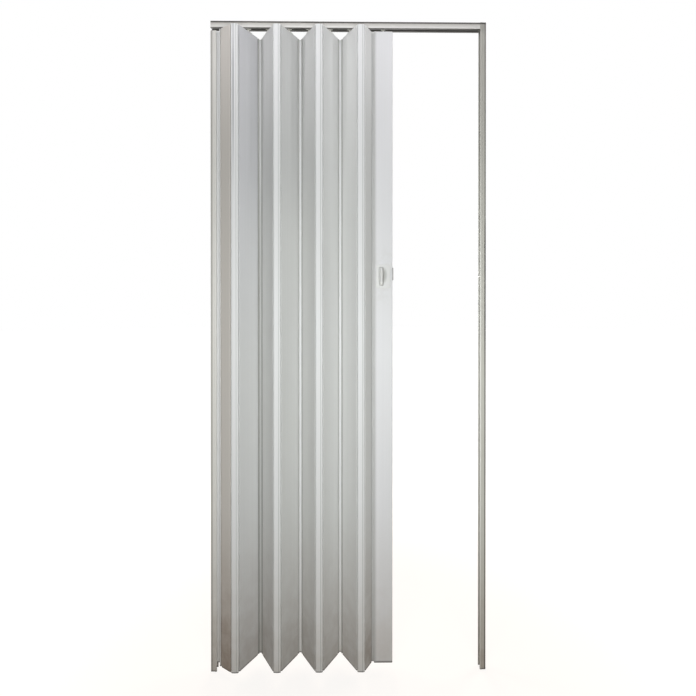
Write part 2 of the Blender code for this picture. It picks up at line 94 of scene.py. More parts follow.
def product(tree, first, *others):
    for other in others:
        first = calc(tree, "MULTIPLY", first, other)
    return first


def vectorCalc(tree, operation, first, second=None):
    node = place(tree, "ShaderNodeVectorMath", operation=operation)
    feed(tree, node.inputs[0], first)
    if second is not None:
        feed(tree, node.inputs[1], second)
    return node.outputs


# a fade in the dictionaries below is (from, to, share at from, share at to), or (from, to) for 0 to 1
def ramp(tree, value, low, high, outLow=0.0, outHigh=1.0):
    node = place(tree, "ShaderNodeMapRange", interpolation_type="SMOOTHSTEP")
    names = ("Value", "From Min", "From Max", "To Min", "To Max")
    for name, given in zip(names, (value, low, high, outLow, outHigh)):
        feed(tree, node.inputs[name], given)
    return node.outputs["Result"]


def mixed(tree, factor, first, second, blend="MIX"):
    node = place(tree, "ShaderNodeMix", data_type="RGBA", blend_type=blend)
    feed(tree, node.inputs[mixFactor], factor)
    feed(tree, node.inputs[mixFirst], first)
    feed(tree, node.inputs[mixSecond], second)
    return node.outputs[mixResult]


def noise(tree, where, scale, detail=2.0, roughness=0.5):
    node = place(tree, "ShaderNodeTexNoise", {"Detail": detail, "Roughness": roughness})
    feed(tree, node.inputs["Vector"], where)
    feed(tree, node.inputs["Scale"], scale)
    return node.outputs[0]


def objectPlace(tree):
    return place(tree, "ShaderNodeTexCoord").outputs["Object"]


def splitPlace(tree):
    split = place(tree, "ShaderNodeSeparateXYZ")
    feed(tree, split.inputs[0], objectPlace(tree))
    return split.outputs


def startGroup(name, inputs, outputs):
    tree = bpy.data.node_groups.new(name, "ShaderNodeTree")
    for label, kind, value in inputs:
        tree.interface.new_socket(name=label, in_out="INPUT", socket_type=kind).default_value = value
    for label, kind in outputs:
        tree.interface.new_socket(name=label, in_out="OUTPUT", socket_type=kind)
    given, out = place(tree, "NodeGroupInput"), place(tree, "NodeGroupOutput")
    out.location = outputPlace
    return tree, given.outputs, out.inputs


def useGroup(tree, group, values):
    node = place(tree, "ShaderNodeGroup", node_tree=group)
    for name, value in values.items():
        feed(tree, node.inputs[name], value)
    return node.outputs


# lines that the extrusion die leaves along a profile, with a fine satin pebble
dieWork = {
    "fineDetail": (2.0, 0.55), "broadDetail": (3.0, 0.6), "pebbleDetail": 1.0,
    "fineShare": 0.4, "pebbleShare": 0.25, "streak": (0.33, 0.67),
}


def makeDieLines():
    tree, given, out = startGroup(
        "dieLines",
        [("Stretch", direction, (1, 1, 0.004)), ("Fine", number, 900.0), ("Broad", number, 90.0),
         ("Pebble", number, 1500.0)],
        [("Height", number), ("Streak", number)],
    )
    where = objectPlace(tree)
    mapping = place(tree, "ShaderNodeMapping")
    feed(tree, mapping.inputs["Vector"], where)
    feed(tree, mapping.inputs["Scale"], given["Stretch"])
    drawn = mapping.outputs[0]
    fine = noise(tree, drawn, given["Fine"], *dieWork["fineDetail"])
    broad = noise(tree, drawn, given["Broad"], *dieWork["broadDetail"])
    pebble = noise(tree, where, given["Pebble"], dieWork["pebbleDetail"])
    lines = calc(tree, "ADD", product(tree, fine, dieWork["fineShare"]), broad)
    rough = product(tree, pebble, dieWork["pebbleShare"])
    feed(tree, out["Height"], calc(tree, "ADD", lines, rough))
    feed(tree, out["Streak"], ramp(tree, broad, *dieWork["streak"]))
    return tree


# rounded shading on sharp edges, and where those edges are rubbed
edgeWork = {"samples": 6, "patchDetail": (4.0, 0.65), "patchy": (0.38, 0.66, 0.15, 1.0)}


def makeSoftEdge():
    tree, given, out = startGroup(
        "softEdge",
        [("Radius", number, 0.0006), ("Gain", number, 6.0), ("Patch", number, 40.0)],
        [("Normal", direction), ("Rub", number)],
    )
    bevel = place(tree, "ShaderNodeBevel", samples=edgeWork["samples"])
    feed(tree, bevel.inputs["Radius"], given["Radius"])
    rounded = bevel.outputs[0]
    flat = place(tree, "ShaderNodeNewGeometry").outputs["Normal"]
    bent = calc(tree, "SUBTRACT", 1.0, vectorCalc(tree, "DOT_PRODUCT", rounded, flat)["Value"])
    edge = calc(tree, "MULTIPLY", bent, given["Gain"], clamp=True)
    patch = noise(tree, objectPlace(tree), given["Patch"], *edgeWork["patchDetail"])
    feed(tree, out["Normal"], rounded)
    feed(tree, out["Rub"], product(tree, edge, ramp(tree, patch, *edgeWork["patchy"])))
    return tree


# dust and painted shade that darken towards the floor, slow unevenness of the colour, and a dark line along
# the foot
dustAndShadeWork = {
    "patchDetail": (5.0, 0.62), "patchy": (0.3, 0.66, 0.6, 1.0), "nearShare": 0.45,
    "slowScale": 2.6, "mottle": (0.34, 0.66),
}


def makeRoomDustAndShade():
    tree, given, out = startGroup(
        "roomDustAndShade",
        [("Foot", number, -2.1), ("Reach", number, 0.35), ("Near", number, 0.22), ("Patch", number, 22.0),
         ("Line", number, 0.006)],
        [("Dust And Shade", number), ("Mottle", number), ("Foot Line", number)],
    )
    where = objectPlace(tree)
    level = calc(tree, "SUBTRACT", splitPlace(tree)["Z"], given["Foot"])
    low = ramp(tree, level, 0.0, given["Reach"], 1.0, 0.0)
    near = ramp(tree, level, 0.0, given["Near"], dustAndShadeWork["nearShare"], 0.0)
    patch = noise(tree, where, given["Patch"], *dustAndShadeWork["patchDetail"])
    spread = ramp(tree, patch, *dustAndShadeWork["patchy"])
    slow = noise(tree, where, dustAndShadeWork["slowScale"])
    feed(tree, out["Dust And Shade"], product(tree, calc(tree, "ADD", low, near), spread))
    feed(tree, out["Mottle"], ramp(tree, slow, *dustAndShadeWork["mottle"]))
    feed(tree, out["Foot Line"], ramp(tree, level, 0.0, given["Line"], 1.0, 0.0))
    return tree


# grime and painted shade, from ambient occlusion, in the narrow grooves beside the hinge strips and under the
# plates
grooveWork = {"samples": 6, "shut": (0.3, 0.8), "patchDetail": (4.0, 0.6), "patchy": (0.32, 0.62, 0.55, 1.0)}


def makeGroove():
    tree, given, out = startGroup(
        "groove",
        [("Reach", number, 0.006), ("Patch", number, 70.0)],
        [("Grime And Shade", number)],
    )
    near = place(tree, "ShaderNodeAmbientOcclusion", samples=grooveWork["samples"])
    feed(tree, near.inputs["Distance"], given["Reach"])
    shut = calc(tree, "SUBTRACT", 1.0, near.outputs["AO"])
    patch = noise(tree, objectPlace(tree), given["Patch"], *grooveWork["patchDetail"])
    kept = ramp(tree, patch, *grooveWork["patchy"])
    feed(tree, out["Grime And Shade"], product(tree, ramp(tree, shut, *grooveWork["shut"]), kept))
    return tree


dieLines, softEdge, roomDustAndShade, groove = makeDieLines(), makeSoftEdge(), makeRoomDustAndShade(), makeGroove()
print("shader groups made")


# what plastic and metal have in common: die lines, soft edges and the bump of both
def startMaterial(name, look):
    made = bpy.data.materials.new(name)
    made.use_nodes = True
    tree = made.node_tree
    shader = tree.nodes["Principled BSDF"]
    shader.location = outputPlace
    tree.nodes["Material Output"].location = (outputPlace[0] + rowStep, 0)
    lines = useGroup(
        tree, dieLines,
        {"Stretch": look["stretch"], "Fine": look["fine"], "Broad": look["broad"], "Pebble": look["pebble"]},
    )
    edge = useGroup(
        tree, softEdge, {"Radius": look["round"], "Gain": look["rubGain"], "Patch": look["rubPatch"]}
    )
    bump = place(tree, "ShaderNodeBump", {"Strength": look["bump"], "Distance": look["bumpDepth"]})
    feed(tree, bump.inputs["Height"], lines["Height"])
    feed(tree, bump.inputs["Normal"], edge["Normal"])
    feed(tree, shader.inputs["Normal"], bump.outputs[0])
    return made, shader.inputs, lines, edge


# one finish for every extruded or moulded plastic piece, from its own dictionary
def makeVinyl(name, look):
    made, sockets, lines, edge = startMaterial(name, look)
    tree = made.node_tree
    sockets["IOR"].default_value = look["ior"]
    sockets["Specular IOR Level"].default_value = look["gloss"]
    dustAndShade = useGroup(tree, roomDustAndShade, {"Foot": look["foot"], "Reach": look["reach"]})
    seam = useGroup(tree, groove, {"Reach": look["seamReach"]})
    layers = [
        (lines["Streak"], 1.0, look["streakColour"]),
        (dustAndShade["Mottle"], look["mottle"], look["mottleColour"]),
        (dustAndShade["Dust And Shade"], look["dustAndShade"], look["dustAndShadeColour"]),
        (edge["Rub"], look["rub"], look["rubColour"]),
        (seam["Grime And Shade"], look["seam"], look["seamColour"]),
        (dustAndShade["Foot Line"], look["footLine"], look["footColour"]),
    ]
    colour = look["colour"]
    for mask, share, tone in layers:
        colour = mixed(tree, product(tree, mask, share), colour, tone)
    for mark in look.get("marks", ()):
        mask, tone, blend = mark(tree)
        colour = mixed(tree, mask, colour, tone, blend)
    feed(tree, sockets["Base Color"], colour)
    drawn = product(tree, lines["Streak"], look["streakMatt"])
    dusty = product(tree, dustAndShade["Dust And Shade"], look["dustMatt"])
    matt = calc(tree, "ADD", calc(tree, "ADD", drawn, dusty), look["roughness"], clamp=True)
    feed(tree, sockets["Roughness"], matt)
    return made


upright, lengthwise, moulded = (1, 1, 0.004), (0.004, 1, 1), (1, 1, 1)  # how far the die lines are drawn out
grimeAndShadeTone, blackTone = (0.15, 0.14, 0.125), (0.06, 0.055, 0.05)

vinyl = {
    "ior": 1.52, "gloss": 0.36, "streakMatt": 0.07, "dustMatt": 0.25, "bump": 0.16, "bumpDepth": 0.0002,
    "stretch": upright, "fine": 900.0, "broad": 110.0, "pebble": 1500.0,
    "round": 0.0007, "rubGain": 5.0, "rubPatch": 45.0, "rub": 0.3, "rubColour": (0.84, 0.84, 0.83),
    "foot": leafFoot, "reach": 0.55, "dustAndShade": 0.4, "dustAndShadeColour": (0.37, 0.3, 0.25), "mottle": 0.25,
    "seamReach": 0.006, "seam": 0.28, "seamColour": grimeAndShadeTone, "footLine": 0.8, "footColour": blackTone,
}

# slats, which carry painted light and shade unlike each other
slatMarks = {
    "wallSide": (-0.19, 0.03, 1.0, 0.0), "wallTone": (0.91, 0.91, 0.905),
    "upperSide": (-0.16, 0.0, 1.0, 0.0), "upperLevel": (-0.75, -0.4), "upperTone": (0.905, 0.905, 0.91),
    "coolLevel": (-1.2, -0.5, 0.35, 1.0), "coolTone": (0.995, 0.99, 1.03),
    "brownTone": (0.853, 0.803, 0.76), "sideBlend": 0.001,
    "lowerLevel": (-0.42, -0.08, 1.0, 0.0), "lowerTone": (0.86, 0.86, 0.855),
}


# painted shade: those nearer the wall are darker than those nearer the post, most of all below the track
def wallSideShade(tree):
    mask = ramp(tree, splitPlace(tree)["X"], *slatMarks["wallSide"])
    return mask, slatMarks["wallTone"], "MULTIPLY"


# painted shade: the wall-side slats are darker towards the top
def upperWallShade(tree):
    split = splitPlace(tree)
    wallSide = ramp(tree, split["X"], *slatMarks["upperSide"])
    upper = ramp(tree, split["Z"], *slatMarks["upperLevel"])
    return product(tree, wallSide, upper), slatMarks["upperTone"], "MULTIPLY"


# where a slat is on the viewer's side of its middle plane, for one that leans right (1) or left (-1)
def viewerSide(tree, node, lean):
    low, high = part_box(node)
    across = Vector((lean * (high.y - low.y), low.x - high.x, 0.0)).normalized()
    middle = across.dot((low + high) / 2)
    reached = vectorCalc(tree, "DOT_PRODUCT", objectPlace(tree), across)["Value"]
    return ramp(tree, reached, middle - slatMarks["sideBlend"], middle + slatMarks["sideBlend"])


# the second slat is a cooler grey on that side, least below; on that side the first slat carries painted
# shade with a warm painted reflection
def coolFace(tree):
    upper = ramp(tree, splitPlace(tree)["Z"], *slatMarks["coolLevel"])
    return product(tree, viewerSide(tree, "slat_2", 1), upper), slatMarks["coolTone"], "MULTIPLY"


def brownShadedFace(tree):
    return viewerSide(tree, "slat_1", -1), slatMarks["brownTone"], "MULTIPLY"


# painted light: the last slat is paler under the track and darker below
def lowerShade(tree):
    mask = ramp(tree, splitPlace(tree)["Z"], *slatMarks["lowerLevel"])
    return mask, slatMarks["lowerTone"], "MULTIPLY"


slatLook = dict(
    vinyl, colour=(0.785, 0.787, 0.782), streakColour=(0.765, 0.768, 0.762),
    mottleColour=(0.75, 0.76, 0.745), roughness=0.45, dustAndShade=0.33, marks=(wallSideShade, upperWallShade),
)
# the first slat also takes more of the darkening towards the floor, dust and painted shade
firstSlatLook = dict(slatLook, rub=0.15, dustAndShade=0.65, marks=(brownShadedFace,))
secondSlatLook = dict(slatLook, marks=(wallSideShade, upperWallShade, coolFace))
# painted light: the last slat takes a paler copy of the slat colour
lastSlatLook = dict(
    slatLook, colour=(0.87, 0.87, 0.86), streakColour=(0.855, 0.855, 0.845),
    mottleColour=(0.84, 0.84, 0.825), rub=0.15, seam=0.22, dustAndShade=0.5, marks=(lowerShade,),
)

# jambs, with painted shade along the wall and a painted highlight on the lip that the post closes into
jambMarks = {
    "wallLine": (wallEdge - 0.0078, wallEdge - 0.0042, 0.0, 0.52), "wallFace": wallEdge - 0.0003,
    "outerLine": (wallEdge - 0.0056, wallEdge - 0.0038),
    "outerAbove": (-0.72, -0.6, 0.98, 0.6), "outerBelow": (-1.15, -1.0, 0.75, 1.0),
    "mouthLip": (mouthEdge + 0.0028, mouthEdge + 0.004, 0.92, 0.0), "mouthTone": (0.93, 0.93, 0.88),
    "mouthAbove": (-1.1, -0.3, 1.0, 0.12), "mouthBelow": (-2.05, -1.3, 0.3, 1.0),
    "upperLevel": (-0.85, -0.02, 0.0, 0.41), "cornerLevel": (-0.045, -0.014, 0.0, 0.4),
    "upperTone": (0.2, 0.19, 0.175),
}


# painted shade on the edge where a jamb meets the wall, none on the face against it
def wallLine(tree):
    side = calc(tree, "ABSOLUTE", splitPlace(tree)["X"])
    line = ramp(tree, side, *jambMarks["wallLine"])
    shown = calc(tree, "LESS_THAN", side, jambMarks["wallFace"])
    return product(tree, line, shown), grimeAndShadeTone, "MIX"


# on the closing jamb that painted shade line is darker, darkest between about 0.7 and 1.0 m below the top
def outerLine(tree):
    split = splitPlace(tree)
    line = ramp(tree, split["X"], *jambMarks["outerLine"])
    shown = calc(tree, "LESS_THAN", split["X"], jambMarks["wallFace"])
    above = ramp(tree, split["Z"], *jambMarks["outerAbove"])
    below = ramp(tree, split["Z"], *jambMarks["outerBelow"])
    return product(tree, line, shown, above, below), blackTone, "MIX"


# painted highlight: a lighter band on the lip of the jamb that the post closes into
def mouthHighlight(tree):
    split = splitPlace(tree)
    lip = ramp(tree, split["X"], *jambMarks["mouthLip"])
    above = ramp(tree, split["Z"], *jambMarks["mouthAbove"])
    below = ramp(tree, split["Z"], *jambMarks["mouthBelow"])
    return product(tree, lip, above, below), jambMarks["mouthTone"], "MIX"


# painted shade: the closing jamb is greyer towards the lintel, and again in the corner under it
def upperJambShade(tree):
    return ramp(tree, splitPlace(tree)["Z"], *jambMarks["upperLevel"]), jambMarks["upperTone"], "MIX"


def cornerShade(tree):
    return ramp(tree, splitPlace(tree)["Z"], *jambMarks["cornerLevel"]), jambMarks["upperTone"], "MIX"


# track, with painted shade on its lips and inside its channel, and darker towards the lintel
trackMarks = {
    "lips": (trackFoot + 0.0007, trackFoot + 0.0018, 1.0, 0.0),
    "insideHalf": 0.0093, "insideEnd": 0.424, "insideRoof": -0.0015, "topFace": -0.0003,
    "underShade": 0.92, "underShadeTone": (0.04, 0.038, 0.033),
    "shade": (-0.0185, -0.004, 0.0, 0.5), "shadeTone": (0.24, 0.22, 0.19),
    "line": (-0.0066, -0.0044, 0.0, 0.94), "lineTone": (0.045, 0.04, 0.035),
}


# painted shade on the lips and inside the channel
def trackUnderShade(tree):
    split = splitPlace(tree)
    lips = ramp(tree, split["Z"], *trackMarks["lips"])
    between = calc(tree, "LESS_THAN", calc(tree, "ABSOLUTE", split["Y"]), trackMarks["insideHalf"])
    before = calc(tree, "LESS_THAN", split["X"], trackMarks["insideEnd"])
    under = calc(tree, "LESS_THAN", split["Z"], trackMarks["insideRoof"])
    shadedPart = calc(tree, "MAXIMUM", lips, product(tree, between, before, under))
    return product(tree, shadedPart, trackMarks["underShade"]), trackMarks["underShadeTone"], "MIX"


# keeps a mark on the front and back faces, off the inside and the top
def belowLintel(tree, name):
    split = splitPlace(tree)
    mask = ramp(tree, split["Z"], *trackMarks[name])
    outside = calc(tree, "GREATER_THAN", calc(tree, "ABSOLUTE", split["Y"]), trackMarks["insideHalf"])
    under = calc(tree, "LESS_THAN", split["Z"], trackMarks["topFace"])
    return product(tree, mask, outside, under)


# painted shade: the track darkens towards the lintel and ends in a painted black shadow line under it
def lintelShade(tree):
    return belowLintel(tree, "shade"), trackMarks["shadeTone"], "MIX"


def lintelLine(tree):
    return belowLintel(tree, "line"), trackMarks["lineTone"], "MIX"


frameLook = dict(
    vinyl, colour=(0.74, 0.725, 0.695), streakColour=(0.71, 0.695, 0.665), mottleColour=(0.71, 0.69, 0.65),
    roughness=0.42, foot=frameFoot, rubColour=(0.74, 0.74, 0.72), marks=(wallLine,),
)
# painted shade: the closing jamb takes a darker copy of the frame colour
closingLook = dict(
    frameLook, colour=(0.642, 0.632, 0.579), streakColour=(0.618, 0.608, 0.555),
    mottleColour=(0.613, 0.598, 0.536), dustAndShade=0.5, seam=0.45,
    marks=(upperJambShade, cornerShade, mouthHighlight, outerLine, lintelLine),
)
trackLook = dict(
    frameLook, colour=(0.77, 0.755, 0.73), streakColour=(0.74, 0.725, 0.7), mottleColour=(0.74, 0.72, 0.69),
    stretch=lengthwise, marks=(trackUnderShade, lintelShade, lintelLine),
)

# front strips; a painted shade line stands at a share of the strip's width and fades to both sides
crestMarks = {
    "groove": 0.71, "grooveShadeFade": (0.0005, 0.0016, 1.0, 0.0), "grooveShadeTone": (0.71, 0.71, 0.7),
    "upperShadowLine": 0.34, "upperShadowFade": (0.0012, 0.0034, 1.0, 0.0), "upperTone": (0.5, 0.5, 0.52),
    "upperFrom": (-0.62, -0.22), "upperTo": (-0.17, -0.05, 1.0, 0.5),
}


# a line at the same place on each front strip
def crestLine(tree, split, share, shadeFade):
    low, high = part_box("crest_strip_1")
    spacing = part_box("crest_strip_2")[0].x - low.x
    fromEdge = calc(tree, "SUBTRACT", split["X"], low.x - spacing)
    onStrip = calc(tree, "MODULO", fromEdge, spacing)
    away = calc(tree, "ABSOLUTE", calc(tree, "SUBTRACT", onStrip, share * (high.x - low.x)))
    front = calc(tree, "LESS_THAN", split["Y"], (low.y + high.y) / 2)
    return product(tree, ramp(tree, away, *shadeFade), front)


# painted shade in a fine line, and on the first strip a darker painted shadow line below the track
def stripShadeLine(tree):
    line = crestLine(tree, splitPlace(tree), crestMarks["groove"], crestMarks["grooveShadeFade"])
    return line, crestMarks["grooveShadeTone"], "MULTIPLY"


def upperShadowLine(tree):
    split = splitPlace(tree)
    line = crestLine(tree, split, crestMarks["upperShadowLine"], crestMarks["upperShadowFade"])
    lower = ramp(tree, split["Z"], *crestMarks["upperFrom"])
    upper = ramp(tree, split["Z"], *crestMarks["upperTo"])
    return product(tree, line, lower, upper), crestMarks["upperTone"], "MULTIPLY"


# back strips
valleyMarks = {
    "shadeDepth": 0.003, "shadeShare": 0.6, "valleyShadeTone": (0.36, 0.35, 0.32),
    "wallShadeSide": (-0.27, -0.16, 1.0, 0.0), "wallShadeLevel": (-0.9, -0.1, 1.0, 0.25), "wallShadeTone": (0.68, 0.68, 0.665),
}


# painted shade on the side that faces the folds
def valleyShade(tree):
    low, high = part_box("valley_strip_1")
    middle = (low.y + high.y) / 2
    deep = splitPlace(tree)["Y"]
    mask = ramp(tree, deep, middle - valleyMarks["shadeDepth"], middle, valleyMarks["shadeShare"], 0.0)
    return mask, valleyMarks["valleyShadeTone"], "MIX"


# painted shade: the valley next to the wall is darker, least under the track
def valleyWallShade(tree):
    split = splitPlace(tree)
    along = ramp(tree, split["X"], *valleyMarks["wallShadeSide"])
    below = ramp(tree, split["Z"], *valleyMarks["wallShadeLevel"])
    return product(tree, along, below), valleyMarks["wallShadeTone"], "MULTIPLY"


# lead post
postMarks = {
    "knuckle": (postEdge + 0.0125, postEdge + 0.0225, 0.6, 0.0), "knuckleTone": (0.42, 0.42, 0.405),
    "hand": (0.03, 0.13, 0.16, 0.0), "handPatch": 55.0, "handDetail": 4.0, "handSpread": (0.35, 0.65),
    "handTone": (0.5, 0.47, 0.42),
}


# painted shade: its knuckle sits in the fold and is painted greyer than its face
def knuckleShade(tree):
    return ramp(tree, splitPlace(tree)["X"], *postMarks["knuckle"]), postMarks["knuckleTone"], "MIX"


# hands darken it round the grip
def handMarks(tree):
    where = objectPlace(tree)
    away = vectorCalc(tree, "DISTANCE", where, gripMiddle)["Value"]
    patch = noise(tree, where, postMarks["handPatch"], postMarks["handDetail"])
    near = ramp(tree, away, *postMarks["hand"])
    gripShadowFade = product(tree, near, ramp(tree, patch, *postMarks["handSpread"]))
    return gripShadowFade, postMarks["handTone"], "MIX"


stripLook = dict(
    vinyl, colour=(0.79, 0.793, 0.803), streakColour=(0.775, 0.778, 0.788), mottleColour=(0.775, 0.775, 0.77),
    roughness=0.44, gloss=0.3, dustAndShade=0.25, dustAndShadeColour=(0.52, 0.44, 0.355),
)
crestLook = dict(stripLook, marks=(stripShadeLine,))
firstCrestLook = dict(stripLook, marks=(stripShadeLine, upperShadowLine))
valleyLook = dict(stripLook, marks=(valleyShade, valleyWallShade))
# painted light: the start pieces take a paler copy of the strip colour
startLook = dict(
    stripLook, colour=(0.88, 0.88, 0.885), streakColour=(0.865, 0.865, 0.87),
    mottleColour=(0.865, 0.86, 0.855),
)
postLook = dict(
    stripLook, colour=(0.775, 0.773, 0.793), streakColour=(0.76, 0.758, 0.778),
    mottleColour=(0.76, 0.755, 0.763), seam=0.12, marks=(handMarks, knuckleShade),
)

# handle, with a painted shadow on the plates beside the grips and painted shade on the grips
handleMarks = {
    "gripShadowRight": 0.002, "gripShadowUp": 0.004, "gripShadowWide": 0.011, "gripShadowTall": 0.03,
    "gripShadowFade": (0.3, 1.0, 0.6, 0.0), "gripShadowTone": (0.34, 0.34, 0.32),
    "flankShadeFade": (0.003, 0.005, 0.0, 0.46), "flankShadeTone": (0.24, 0.23, 0.2),
}


# painted shadow of the grip on the plate to its right
def gripShadow(tree):
    centre = (gripHigh.x + handleMarks["gripShadowRight"], gripLow.y, gripMiddle.z + handleMarks["gripShadowUp"])
    shrink = (1 / handleMarks["gripShadowWide"], 0.0, 1 / handleMarks["gripShadowTall"])
    aside = vectorCalc(tree, "SUBTRACT", objectPlace(tree), centre)["Vector"]
    spot = vectorCalc(tree, "MULTIPLY", aside, shrink)["Vector"]
    away = vectorCalc(tree, "LENGTH", spot)["Value"]
    return ramp(tree, away, *handleMarks["gripShadowFade"]), handleMarks["gripShadowTone"], "MIX"


# painted shade on one flank of the front grip, both flanks of the back one
def flankShade(tree):
    split = splitPlace(tree)
    across = calc(tree, "SUBTRACT", split["X"], gripMiddle.x)
    behind = calc(tree, "GREATER_THAN", split["Y"], 0.0)
    flank = calc(tree, "MAXIMUM", across, product(tree, across, behind, -1.0))
    return ramp(tree, flank, *handleMarks["flankShadeFade"]), handleMarks["flankShadeTone"], "MIX"


handleLook = dict(
    vinyl, stretch=moulded, fine=420.0, broad=60.0, colour=(0.745, 0.746, 0.743),
    streakColour=(0.73, 0.73, 0.726), mottleColour=(0.72, 0.716, 0.7), roughness=0.38, bump=0.1,
    round=0.0009, seamReach=0.002, seam=0.2, rub=0.15, marks=(gripShadow,),
)
gripLook = dict(handleLook, colour=(0.79, 0.785, 0.765), marks=(flankShade,))
edgePlateLook = dict(
    handleLook, colour=(0.5, 0.49, 0.48), streakColour=(0.48, 0.47, 0.46), mottleColour=(0.46, 0.45, 0.43),
    marks=(),
)
nylonLook = dict(
    vinyl, stretch=moulded, fine=500.0, broad=80.0, colour=(0.8, 0.79, 0.74), streakColour=(0.76, 0.75, 0.69),
    mottleColour=(0.72, 0.7, 0.63), roughness=0.5, bump=0.12, rubColour=(0.86, 0.85, 0.8), seam=0.3,
)

# zinc plated steel with a soft cloudy passivation and bare rubbed edges
zincLook = {
    "colour": (0.56, 0.565, 0.58), "cloud": (0.5, 0.49, 0.45), "bare": (0.7, 0.7, 0.7),
    "roughness": 0.32, "cloudRoughness": 0.48, "bump": 0.12, "bumpDepth": 0.0001,
    "stretch": moulded, "fine": 1400.0, "broad": 260.0, "pebble": 2600.0,
    "round": 0.0003, "rubGain": 6.0, "rubPatch": 120.0,
}


def makeZinc(name, look):
    made, sockets, lines, edge = startMaterial(name, look)
    tree = made.node_tree
    sockets["Metallic"].default_value = 1.0
    colour = mixed(tree, lines["Streak"], look["colour"], look["cloud"])
    feed(tree, sockets["Base Color"], mixed(tree, edge["Rub"], colour, look["bare"]))
    matt = ramp(tree, lines["Streak"], 0.0, 1.0, look["roughness"], look["cloudRoughness"])
    feed(tree, sockets["Roughness"], matt)
    return made


finishes = {
    "slat_grey": makeVinyl("slatVinyl", slatLook),
    "strip_white": makeVinyl("stripVinyl", stripLook),
    "frame_white": makeVinyl("frameVinyl", frameLook),
    "handle_white": makeVinyl("handlePlastic", handleLook),
    "glide_nylon": makeVinyl("glideNylon", nylonLook),
    "zinc_steel": makeZinc("zincSteel", zincLook),
}
strips = {"crest": makeVinyl("crestVinyl", crestLook), "valley": makeVinyl("valleyVinyl", valleyLook)}
startFinish, gripFinish = makeVinyl("startVinyl", startLook), makeVinyl("gripPlastic", gripLook)
special = {  # solids with a finish of their own
    "start_profile": startFinish,
    "start_link": startFinish,
    "track": makeVinyl("trackVinyl", trackLook),
    "right_jamb": makeVinyl("closingVinyl", closingLook),
    "slat_1": makeVinyl("firstSlatVinyl", firstSlatLook),
    "slat_2": makeVinyl("secondSlatVinyl", secondSlatLook),
    "slat_8": makeVinyl("lastSlatVinyl", lastSlatLook),
    "lead_post": makeVinyl("postVinyl", postLook),
    "crest_strip_1": makeVinyl("firstCrestVinyl", firstCrestLook),
    "edge_plate": makeVinyl("edgePlatePlastic", edgePlateLook),
}
for part in frame["record"]["subparts"]:
    label = part["node"]
    usual = strips.get(label.split("_")[0], finishes[part["material_slot"]])
    for slot in nodes[label].material_slots:
        slot.material = special.get(label, usual)
print("finishes on", len(nodes), "solids")


# makes an object from a bmesh, smooth apart from edges sharper than an angle
def addPiece(name, work, finish, body, sharp):
    bmesh.ops.recalc_face_normals(work, faces=work.faces)
    mesh = bpy.data.meshes.new(name)
    work.to_mesh(mesh)
    work.free()
    mesh.materials.append(finish)
    mesh.shade_smooth()
    mesh.set_sharp_from_angle(angle=math.radians(sharp))
    piece = bpy.data.objects.new(name, mesh)
    scene.collection.objects.link(piece)
    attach(piece, body)
    return piece


def turnsOf(sides):
    return [2 * math.pi * s / sides for s in range(sides)]


def ringOf(work, points):
    return [work.verts.new(p) for p in points]


def skin(work, rings):
    for lower, upper in zip(rings, rings[1:]):
        for i in range(len(lower)):
            j = (i + 1) % len(lower)
            work.faces.new((lower[i], lower[j], upper[j], upper[i]))


def loopEdges(work, ring):
    return [work.edges.get((ring[i], ring[(i + 1) % len(ring)])) for i in range(len(ring))]


# thumb turns: a long oval with blunt ends, steep flanks and a narrow back
turnGrip = {
    "sides": 64, "blunt": 4.0, "sharp": 50,
    "profile": [  # shares of half the width, half the length and the rise
        (1.0, 1.0, 0.0), (1.0, 1.0, 0.22), (0.98, 0.996, 0.27), (0.93, 0.987, 0.32),
        (0.74, 0.955, 0.49), (0.57, 0.92, 0.66), (0.45, 0.893, 0.79), (0.39, 0.876, 0.86),
        (0.33, 0.855, 0.92), (0.26, 0.825, 0.965), (0.17, 0.78, 0.99), (0.07, 0.7, 1.0),
    ],
}


def bluntOval(turn):
    power = 2 / turnGrip["blunt"]
    return [math.copysign(abs(v) ** power, v) for v in (math.cos(turn), math.sin(turn))]


def addGrip(node, side):
    low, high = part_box(node)
    centre = (low + high) / 2
    halfWide, halfLong, rise = (high.x - low.x) / 2, (high.z - low.z) / 2, high.y - low.y
    seat = low.y if side > 0 else high.y
    outline = [bluntOval(turn) for turn in turnsOf(turnGrip["sides"])]
    work = bmesh.new()
    rings = []
    for wide, tall, lift in turnGrip["profile"]:
        y = seat + side * rise * lift
        points = []
        for across, up in outline:
            points.append((centre.x + halfWide * wide * across, y, centre.z + halfLong * tall * up))
        rings.append(ringOf(work, points))
    skin(work, rings)
    work.faces.new(rings[0])
    work.faces.new(rings[-1])
    name = node.replace("grip", "turn_grip")
    piece = addPiece(name, work, gripFinish, "latch", turnGrip["sharp"])
    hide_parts(node)


for grip, side in (("front_grip", -1), ("back_grip", 1)):
    addGrip(grip, side)
print("turn grips made")


